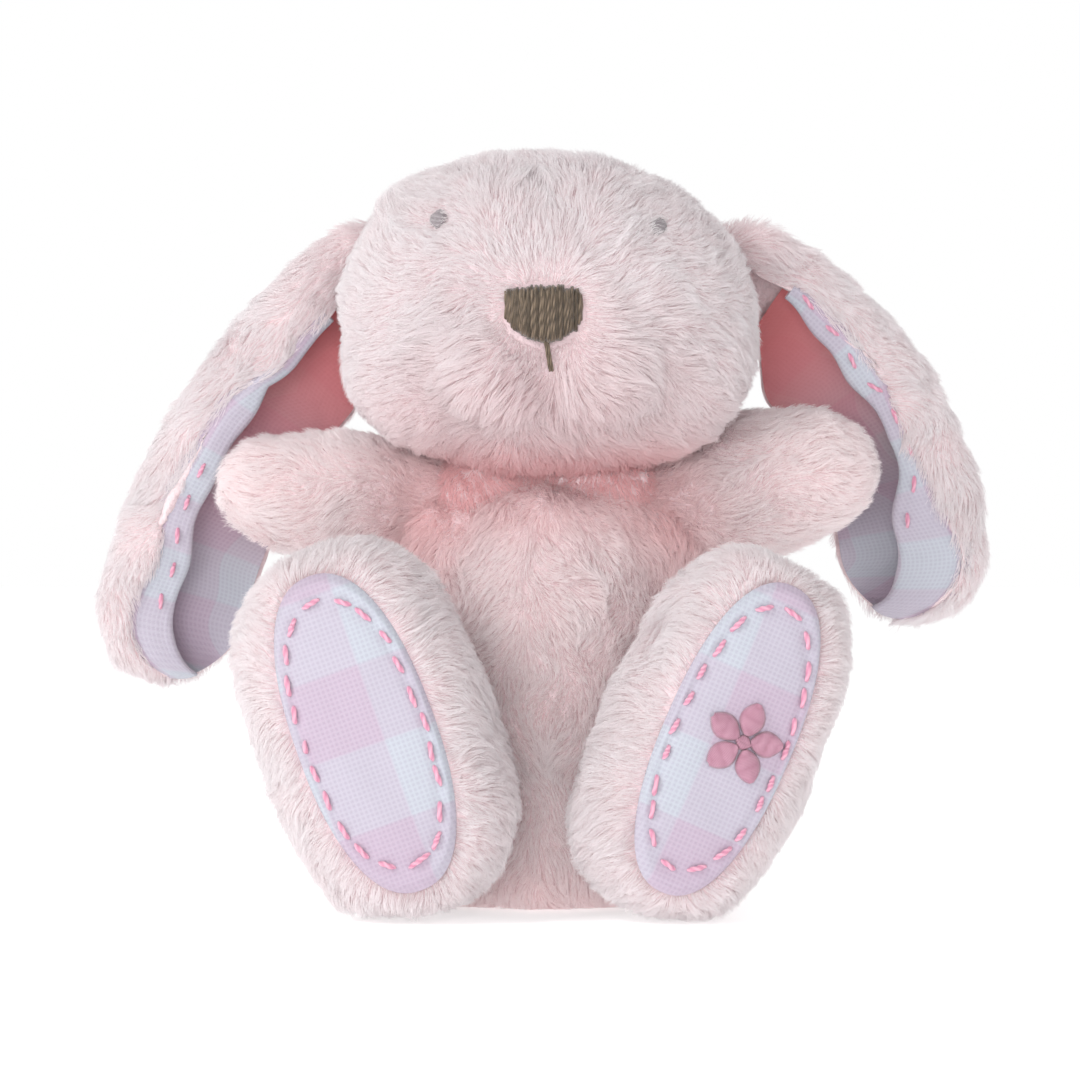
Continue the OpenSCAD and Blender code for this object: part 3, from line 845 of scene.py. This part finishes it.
class Ear:
    """An ear bends in a plane round one axis. Its front edge, which is folded, is the outer one."""

    def __init__(self, side):
        self.side = side
        self.bend_r = EAR_BEND_R[side]
        self.centre = EAR_BEND_C[side]
        self.axes = turn("X", EAR_TILT)
        self.length = math.radians(EAR_BEND[side]) * (self.bend_r - EAR_FOLD)
        self.root = EAR_ROOT / self.length
        self.lobe_at = EAR_HEADING[side] - EAR_BEND[side]
        self.seed = 50 + SIDES[side]

    def place(self, rho, angle, depth):
        """A point of the ear: its distance from the bend's axis, its angle round it and its depth."""
        a = np.radians(angle)
        x = rho * np.cos(a) + self.centre[0]
        z = rho * np.sin(a) + self.centre[1]
        local = np.stack([x, depth + 0 * x, z], axis=-1) @ self.axes.T + EAR_C
        return local * [SIDES[self.side], 1, 1]

    def level(self, t):
        """At t from 0 to 1: the angle, each edge's distance from the bend's axis, and the length's share."""
        if t < LOBE_START:
            along = t / LOBE_START * (1 + self.root) - self.root
            full = float(smoothstep(0, 34, along * self.length))
            w = EAR_ROOT_WIDTH + (EAR_WIDTH - EAR_ROOT_WIDTH) * full
            tuck = EAR_ROOT_TUCK * (1 - float(smoothstep(-EAR_ROOT, 4, along * self.length)))
            angle = EAR_HEADING[self.side] - along * EAR_BEND[self.side]
            return angle, self.bend_r - tuck, self.bend_r - w - 0.4 * tuck, along
        c = self.bend_r - LOBE_R
        swing = LOBE_R / c * math.sin((t - LOBE_START) / (1 - LOBE_START) * math.pi / 2 * 0.985)
        half = math.sqrt(max(LOBE_R ** 2 - (c * swing) ** 2, 0))
        middle = c * math.sqrt(1 - swing ** 2)
        return self.lobe_at - math.degrees(math.asin(swing)), middle + half, middle - half, 1 + swing

    def flap(self, s):
        """How far the plush of the front flap reaches in from the fold, at a share of the length."""
        ripple = 0.7 * math.sin(9 * s + self.seed) + 0.4 * math.sin(23 * s)
        if self.side == "left":
            wider, narrower = smoothstep(0.3, 0.6, s), smoothstep(0.75, 1.0, s)
            return 8.4 + 1.8 * float(wider) - 4.2 * float(narrower) + ripple
        narrower, narrowest = smoothstep(0.3, 0.5, s), smoothstep(0.85, 1.1, s)
        return 12.6 - 4.2 * float(narrower) - 2 * float(narrowest) + ripple

    def lining_reach(self, s):
        """How far the lining reaches in from the fold, on the front."""
        ripple = 0.7 * math.sin(14 * s + 1) + 0.5 * math.sin(31 * s)
        if self.side == "left":
            return 13.2 + 5.8 * float(smoothstep(0.6, 0.95, s)) + ripple
        return 12.6 + 3.0 * float(smoothstep(0.4, 0.9, s)) + ripple

    def section(self, t):
        """The paths of the plush and the lining across the ear at t.

        Their points are (distance, depth), from the front flap round the fold to the back edge."""
        angle, outer, inner, s = self.level(t)
        width = outer - inner
        f = min(EAR_FOLD, width * 0.36) * (0.7 + 0.3 * float(smoothstep(-0.1, 0.2, s)))
        f *= 1 - 0.25 * float(smoothstep(0.75, 1.1, s))
        flap = min(self.flap(s), width * 0.62)
        sag = 1.1 * math.sin(6.3 * s + self.seed)
        turns = np.radians(np.linspace(-90, 90, 13))
        arc = [(outer - f + f * math.cos(x), f * math.sin(x)) for x in turns]
        front = [(outer - flap + (flap - f) * k, -f - sag * (1 - k) ** 2)
                 for k in np.linspace(0, 1, 7)[:-1]]
        back = [(outer - f - (width - f) * k, f + 1.6 * math.sin(k * 3) + 0.6 * sag * k)
                for k in np.linspace(0, 1, 15)[1:]]
        reach = flap + 0.6 + max(self.lining_reach(s) - flap - 0.6, 0) * float(smoothstep(0.14, 0.34, s))
        reach = min(reach, width * 0.86)
        lay = -f - sag - STRIP_PROUD
        tucked = outer - flap + 2
        strip = [(tucked - (reach - flap + 1.2) * k, lay + 1.7 * (1 - k) ** 4 - 0.5 * math.sin(k * math.pi))
                 for k in np.linspace(0, 1, STRIP_POINTS)]
        e = outer - reach
        lip = [(e - 1.3 * math.cos(x), lay + LIP_R + LIP_R * math.sin(x))
               for x in np.radians(np.linspace(-75, 75, 6))]
        deep = max(f - LINING_DEPTH, 0.8)
        under = lay + 2 * LIP_R + 0.1
        inside = [(e + (outer - f - e) * k, under + (-deep - under) * k)
                  for k in np.linspace(0, 1, 7)[1:-1]]
        inner_arc = [(outer - f + deep * math.cos(x), deep * math.sin(x)) for x in turns]
        far = [(outer - f - (width - f - 0.8) * k, deep + 1.5 * math.sin(k * 3) + 0.6 * sag * k)
               for k in np.linspace(0, 1, 15)[1:]]
        return Section(angle, front + arc + back, strip + lip + inside + inner_arc + far, s, reach)


def ear_flow(ear):
    centre = np.array([ear.centre[0], 0, ear.centre[1]])

    def flow(p):
        q = (p * [SIDES[ear.side], 1, 1] - EAR_C) @ ear.axes - centre
        along = unit(np.stack([q[:, 2], 0 * q[:, 0], -q[:, 0]], axis=1))
        return (along @ ear.axes.T) * [SIDES[ear.side], 1, 1]
    return flow


def make_ear_plush(ear):
    rows = []
    for t in np.linspace(0, 1, EAR_STEPS[ear.side]):
        across = ear.section(t)
        path = evenly(across.plush, PLUSH_ACROSS)
        rows.append(ear.place(path[:, 0], across.angle, path[:, 1]))
    skin = grid(ear.side + "_ear_plush", rows)
    if ear.side == "left":
        skin.data.flip_normals()
    flow = ear_flow(ear)
    tufted(skin, flow, ear.seed, nowhere)
    nodes = [ear.side + "_ear_back", ear.side + "_ear_seam"]
    settle(skin, ear.side + "_ear", "pink_skin", nodes)
    # painted shadow: the ear's pile is darkened towards a deeper pink nearer the head
    grown = pile(ear.side + "_ear_pile", skin, ear.side + "_ear", EAR_PILE_DENSITY, EAR_PILE_LENGTH, flow,
                 everywhere, ear.seed, lean=1.0, pink=lambda p: 0.2 * smoothstep(70, 30, np.abs(p[:, 0])))
    dress(grown, MATERIALS["pale_strand"])
    solid = skin.modifiers.new("plush backing", "SOLIDIFY")
    solid.thickness = PLUSH_T * MM
    solid.offset = -1


def make_ear_lining(ear):
    rows, weave, shade = [], [], []
    run = np.linspace(0, 1, LINING_ACROSS)
    for t in np.linspace(0, 1, EAR_STEPS[ear.side]):
        across = ear.section(t)
        if across.share < LINING_START:
            continue
        path = evenly(across.lining, LINING_ACROSS)
        rows.append(ear.place(path[:, 0], across.angle, path[:, 1]))
        length = np.linalg.norm(np.diff(path, axis=0), axis=1).sum()
        weave += [(share * length, across.share * ear.length, 0) for share in run]
        # painted shade: strongest near the ear's root by the head, and away from the turned-out strip
        shade += list(0.92 * smoothstep(0.12, 0.3, run) * smoothstep(0.95, 0.15, across.share))
    lining = grid(ear.side + "_ear_lining_cotton", rows)
    vector_layer(lining.data, "weave", weave)
    float_layer(lining.data, "shade", shade)
    settle(lining, ear.side + "_ear", "lining", [ear.side + "_ear_lining"])
    area = sum(f.area for f in lining.data.polygons)


# ---- threads ----

ASKEW = np.array([0.31, 0.12, 0.94])


def tube(path, radius, sides=7, twist=0.0, start=0.0):
    """Points, faces and ply layer of a thread along a path, with two plies that twist round each other."""
    n = len(path)
    radius = np.broadcast_to(radius, n)
    ahead = unit(np.gradient(path, axis=0))
    side = unit(np.cross(ahead, ASKEW))
    up = np.cross(ahead, side)
    run = np.concatenate([[0], np.cumsum(np.linalg.norm(np.diff(path, axis=0), axis=1))])
    angle = np.linspace(0, 2 * math.pi, sides, endpoint=False)
    ply = 0.5 + 0.5 * np.cos(2 * (angle[None] - twist * run[:, None] - start))
    r = radius[:, None] * (0.78 + 0.3 * ply)
    ring = np.cos(angle)[None, :, None] * side[:, None] + np.sin(angle)[None, :, None] * up[:, None]
    points = path[:, None] + r[..., None] * ring
    faces = [[i * sides + j, i * sides + k, (i + 1) * sides + k, (i + 1) * sides + j]
             for i in range(n - 1) for j, k in zip(range(sides), [*range(1, sides), 0])]
    faces += [list(range(sides))[::-1], [(n - 1) * sides + j for j in range(sides)]]
    return points.reshape(-1, 3), faces, ply.ravel()


def threads(name, parts, body, slot, nodes):
    """One piece from many tubes of the same thread."""
    points, faces, plies, base = [], [], [], 0
    for p, f, ply in parts:
        points.append(p)
        faces += [[base + i for i in face] for face in f]
        plies.append(ply)
        base += len(p)
    made = mesh_object(name, np.concatenate(points), faces)
    float_layer(made.data, "ply", np.concatenate(plies))
    settle(made, body, slot, nodes)


def running_stitch(a, b, out, height, radius):
    """One stitch from a to b that arches along out, with its ends in the cloth."""
    t = np.linspace(0, 1, 15)[:, None]
    arch = np.sin(t * math.pi) ** 0.6
    path = a + (b - a) * t + out * (arch * height - 0.25)
    return tube(path, radius * (0.6 + 0.4 * arch[:, 0]), sides=10, twist=1.6)


# ---- soles ----

SOLE_RINGS, SOLE_SPOKES = 26, 128
SOLE_DOME = 1.5
SOLE_EDGE_DROP = 2.4
SOLE_STITCHES, SOLE_STITCH_STEPS, SOLE_STITCH_SPAN = 22, 40, 24
SOLE_STITCH_AT = 0.84
SOLE_SEED = 70


def sole_outline(side, angle):
    """The patch's edge in the directions angle."""
    c, s = np.cos(angle), np.sin(angle)
    r = 1 / sole_share(side, np.stack([c, 0 * c, s], axis=1))
    return r * c, r * s


def sole_depth(share, x, z, seed):
    """Depth of the patch's face: domed, pulled in along the line of stitches, and a little creased."""
    dome = SOLE_DOME * (1 - share ** 2)
    pull = 0.55 * np.exp(-((share - SOLE_STITCH_AT) / 0.06) ** 2)
    crease = 0.22 * waves(np.stack([x, z * 0.5, 0 * x], axis=1), 6, seed)
    return PATCH_DEPTH + dome - pull + crease * (1 - share ** 4)


def sole_place(side):
    """Takes x across the sole, its depth y and z along it to a place on the toy."""
    axes, origin = foot_axes(side), FOOT_C[side]
    return lambda x, y, z: origin + np.stack([x, -y, z], axis=-1) @ axes.T


def make_sole(side):
    seed = SOLE_SEED + SIDES[side]
    angle = np.linspace(0, 2 * math.pi, SOLE_SPOKES, endpoint=False)
    ex, ez = sole_outline(side, angle)
    rings = np.linspace(0, 1, SOLE_RINGS)[1:]
    share = np.concatenate([[0], np.repeat(rings, SOLE_SPOKES)])
    x = np.concatenate([[0], np.outer(rings, ex).ravel()])
    z = np.concatenate([[0], np.outer(rings, ez).ravel()])
    y = sole_depth(share, x, z, seed) - SOLE_EDGE_DROP * smoothstep(0.95, 1.0, share)
    spokes = [(j, (j + 1) % SOLE_SPOKES) for j in range(SOLE_SPOKES)]
    faces = [[0, 1 + k, 1 + j] for j, k in spokes]
    for a in range(1, 1 + (SOLE_RINGS - 2) * SOLE_SPOKES, SOLE_SPOKES):
        b = a + SOLE_SPOKES
        faces += [[a + j, a + k, b + k, b + j] for j, k in spokes]
    patch = mesh_object(side + "_sole_cotton", sole_place(side)(x, y, z), faces)
    vector_layer(patch.data, "weave", np.stack([x, z, 0 * x], axis=1))
    settle(patch, side + "_leg", "sole", [side + "_sole_patch"])
    area = sum(f.area for f in patch.data.polygons)


def make_sole_stitches(side):
    seed, place = SOLE_SEED + SIDES[side], sole_place(side)
    rng = np.random.default_rng(seed)
    sx, sz = sole_outline(side, np.linspace(0, 2 * math.pi, 721))
    total = SOLE_STITCHES * SOLE_STITCH_STEPS
    ring = evenly(np.stack([sx, sz], axis=1) * SOLE_STITCH_AT, total + 1)
    parts = []
    for start in range(0, total, SOLE_STITCH_STEPS):
        at = start + rng.integers(-4, 5)
        ends = []
        for step in (0, SOLE_STITCH_SPAN):
            x, z = ring[(at + step) % total] + rng.normal(size=2) * 0.35
            depth = sole_depth(np.array([SOLE_STITCH_AT]), np.array([x]), np.array([z]), seed)[0]
            ends.append(place(x, depth + 0.35, z))
        parts.append(running_stitch(*ends, -foot_axes(side)[:, 1], 0.75, 0.62))
    threads(side + "_sole_running_stitches", parts, side + "_leg", "pink_thread", [side + "_sole_stitches"])


FLOWER_C, PETALS, PETAL_START = (2.4, 0.4), 5, 1.5


def satin_leaf(centre, angle, length, width, count=26):
    """A raised leaf of satin stitches on the left sole, laid side by side across its length."""
    c, s = math.cos(angle), math.sin(angle)
    seed, place = SOLE_SEED + SIDES["left"], sole_place("left")
    parts = []
    for k in np.linspace(0.04, 0.96, count):
        half = width / 2 * math.sin(math.pi * k) ** 0.7
        t = np.linspace(-1, 1, 9)
        along, across = length * k, half * t
        x = centre[0] + c * along - s * across
        z = centre[1] + s * along + c * across
        share = sole_share("left", np.stack([x, 0 * x, z], axis=1))
        lift = sole_depth(share, x, z, seed) + 0.1 + 1.1 * np.sqrt(np.clip(1 - t * t, 0, 1))
        parts.append(tube(place(x, lift, z), 0.26, sides=6, start=k * 9))
    return parts


def make_flower():
    parts = []
    for i in range(PETALS):
        angle = math.radians(90 + 360 / PETALS * i)
        start = (FLOWER_C[0] + PETAL_START * math.cos(angle), FLOWER_C[1] + PETAL_START * math.sin(angle))
        parts += satin_leaf(start, angle, 7.4, 5.4)
    parts += satin_leaf((FLOWER_C[0] - 1.6, FLOWER_C[1]), 0, 3.2, 3.2, 10)
    threads("left_sole_flower", parts, "left_leg", "rose_thread", ["left_sole_motif"])


for side in SIDES:
    make_sole(side)
    make_sole_stitches(side)
make_flower()

# ---- face ----

def face_y(x, z):
    """How far forward the face's cover is at each place."""
    near, far = np.full(len(x), HEAD_C[1] - 60), np.full(len(x), HEAD_C[1])
    for _ in range(HALVINGS):
        middle = (near + far) / 2
        inside = head_distance(np.stack([x, middle, z], axis=1)) < 0
        near, far = np.where(inside, near, middle), np.where(inside, middle, far)
    return near


NOSE_HALF_W, NOSE_TOP, NOSE_BOTTOM = 8.2, 137.6, 125.8
NOSE_PITCH, NOSE_THREAD_R = 0.6, 0.4
MOUTH_TOP, MOUTH_BOTTOM = 126.4, 119.2
EYE_R = 1.7


def make_nose():
    rng = np.random.default_rng(7)
    parts = []
    t = np.linspace(-1, 1, 16)
    for x in np.arange(-NOSE_HALF_W, NOSE_HALF_W + 0.01, NOSE_PITCH):
        share = abs(x) / NOSE_HALF_W
        low = NOSE_BOTTOM + 4.6 * share ** 2.2 + rng.normal() * 0.25
        high = NOSE_TOP - 0.9 * share ** 4 + rng.normal() * 0.4
        for layer in range(2):
            z = np.linspace(high - layer * rng.uniform(0, 1.5), low, len(t))
            px = NOSE_C[0] + x + 0.10 * rng.normal() + 0.25 * layer + 0.05 * np.sin(z)
            dome = np.sqrt(np.clip(1 - t ** 4, 0, 1)) * (1 - 0.35 * share ** 3)
            raised = 1.1 + 1.5 * dome + 0.25 * layer - 2.2 * share ** 2
            y = face_y(np.full(len(t), NOSE_C[0]), np.clip(z, 129, 135)) - raised
            path = np.stack([px, y, z], axis=1)
            points, faces, ply = tube(path, NOSE_THREAD_R, twist=1.2, start=rng.uniform(0, 6))
            parts.append((points, faces, ply * rng.uniform(0.2, 1.3)))
    threads("nose_satin_stitches", parts, "head", "brown_thread", ["nose"])


def make_mouth():
    z = np.linspace(MOUTH_TOP, MOUTH_BOTTOM, 14)
    x = NOSE_C[0] + 0.4 + np.linspace(0, 1.2, 14)
    y = face_y(x, z) - 1.8
    parts = [tube(np.stack([x + dx, y, z], axis=1), 0.34, twist=1.4) for dx in (-0.25, 0.3)]
    threads("mouth_thread", parts, "head", "brown_thread", ["mouth"])


def make_eye(side):
    parts = []
    t = np.linspace(-1, 1, 9)
    for k in np.linspace(-1, 1, 9):
        half = EYE_R * math.sqrt(max(1 - k * k, 0.08))
        x = SIDES[side] * EYE_X + half * t
        z = EYE_Z[side] + EYE_R * k + 0.3 * t
        y = face_y(x, z) - 0.6 - 0.8 * np.sqrt(np.clip(1 - t * t, 0, 1)) * math.sqrt(1 - 0.8 * k * k)
        parts.append(tube(np.stack([x, y, z], axis=1), 0.36, twist=1.0, start=k * 5))
    threads(side + "_eye_stitches", parts, "head", "grey_thread", [side + "_eye"])


make_nose()
make_mouth()
for side in SIDES:
    make_eye(side)

# ---- the ears and their running stitches ----

EAR_STITCH_PITCH, EAR_STITCH_LENGTH = 8.5, 3.6
EAR_STITCHES_START = {"left": 0.2, "right": 0.62}


def make_ear_stitches(ear):
    parts = []
    rng = np.random.default_rng(ear.seed)
    at = EAR_STITCHES_START[ear.side]
    while at < 0.97:
        ends = []
        for share in (at, at + EAR_STITCH_LENGTH / ear.length):
            across = ear.section((share + ear.root) / (1 + ear.root) * LOBE_START)
            rho = ear.bend_r - across.reach + 2.4 + rng.normal() * 0.3
            ends.append(ear.place(np.array(rho), across.angle, across.lining[STRIP_POINTS // 2][1]))
        parts.append(running_stitch(*ends, np.array([0, -1.0, -0.2]), 0.7, 0.55))
        at += EAR_STITCH_PITCH / ear.length
    threads(ear.side + "_ear_running_stitches", parts, ear.side + "_ear", "pink_thread",
            [ear.side + "_ear_stitches"])


for side in SIDES:
    ear = Ear(side)
    make_ear_plush(ear)
    make_ear_lining(ear)
    make_ear_stitches(ear)

# ---- the CAD nodes that stay: seams and what is inside ----

KEPT = {"pink_thread": ["left_shoulder_seam", "right_shoulder_seam", "left_hip_seam", "right_hip_seam"],
        "pouch": ["pellet_pouch"],
        "pellets": ["pellets"]}
for kind, names in KEPT.items():
    for name in names:
        dress(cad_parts[name], MATERIALS[kind])

# ---- floor, light and camera ----

FLOOR_HALF, FLOOR_Z = 6000, -0.1
FLOOR_GLOW = 0.46
SKY_LIGHT, SKY_SEEN = 0.6, 1.0
LAMP_SIZE = 0.5


def make_floor():
    corners = [(x * FLOOR_HALF, y * FLOOR_HALF, FLOOR_Z) for x, y in ((-1, -1), (1, -1), (1, 1), (-1, 1))]
    floor = mesh_object("floor", corners, [[0, 1, 2, 3]])
    n = Nodes("pale_floor")
    dress(floor, n.finish(n.mix(0.0, (0.95, 0.95, 0.95), (0.9, 0.9, 0.9)), 0.9))
    n.shader.inputs["Emission Color"].default_value = (1, 1, 1, 1)
    n.shader.inputs["Emission Strength"].default_value = FLOOR_GLOW


def make_sky():
    """White where it is seen, and weaker as a light."""
    world = bpy.data.worlds.new("studio")
    bpy.context.scene.world = world
    world.use_nodes = True
    tree = world.node_tree
    sky = tree.nodes["Background"]
    sky.inputs["Color"].default_value = (1, 1, 1, 1)
    seen = tree.nodes.new("ShaderNodeLightPath")
    strength = tree.nodes.new("ShaderNodeMapRange")
    strength.inputs["To Min"].default_value = SKY_LIGHT
    strength.inputs["To Max"].default_value = SKY_SEEN
    tree.links.new(seen.outputs["Is Camera Ray"], strength.inputs["Value"])
    tree.links.new(strength.outputs[0], sky.inputs["Strength"])


def lamp(name, place, aim, watts):
    data = bpy.data.lights.new(name, "AREA")
    data.size = LAMP_SIZE
    data.energy = watts
    made = bpy.data.objects.new(name, data)
    bpy.context.scene.collection.objects.link(made)
    made.location = place
    made.rotation_euler = (Vector(aim) - Vector(place)).to_track_quat("-Z", "Y").to_euler()


def make_camera():
    """At the photograph's viewing angle: level, and straight in front."""
    camera = bpy.data.objects.new("camera", bpy.data.cameras.new("camera"))
    bpy.context.scene.collection.objects.link(camera)
    camera.location = (-0.00184, -0.930, 0.0823)
    camera.rotation_euler = (math.radians(90), 0, 0)
    camera.data.sensor_width = 36
    camera.data.lens = 134.8
    camera.data.clip_start = 0.05
    camera.data.clip_end = 50
    bpy.context.scene.camera = camera


make_floor()
make_sky()
lamp("key", (-0.9, -0.75, 0.75), (0, 0, 0.09), 6.2)
lamp("low front", (-0.15, -1.1, 0.07), (0, 0, 0.07), 6.2)
lamp("back", (0.5, 1.0, 0.9), (0, 0, 0.08), 3)
make_camera()
bpy.context.scene.view_settings.view_transform = "Standard"
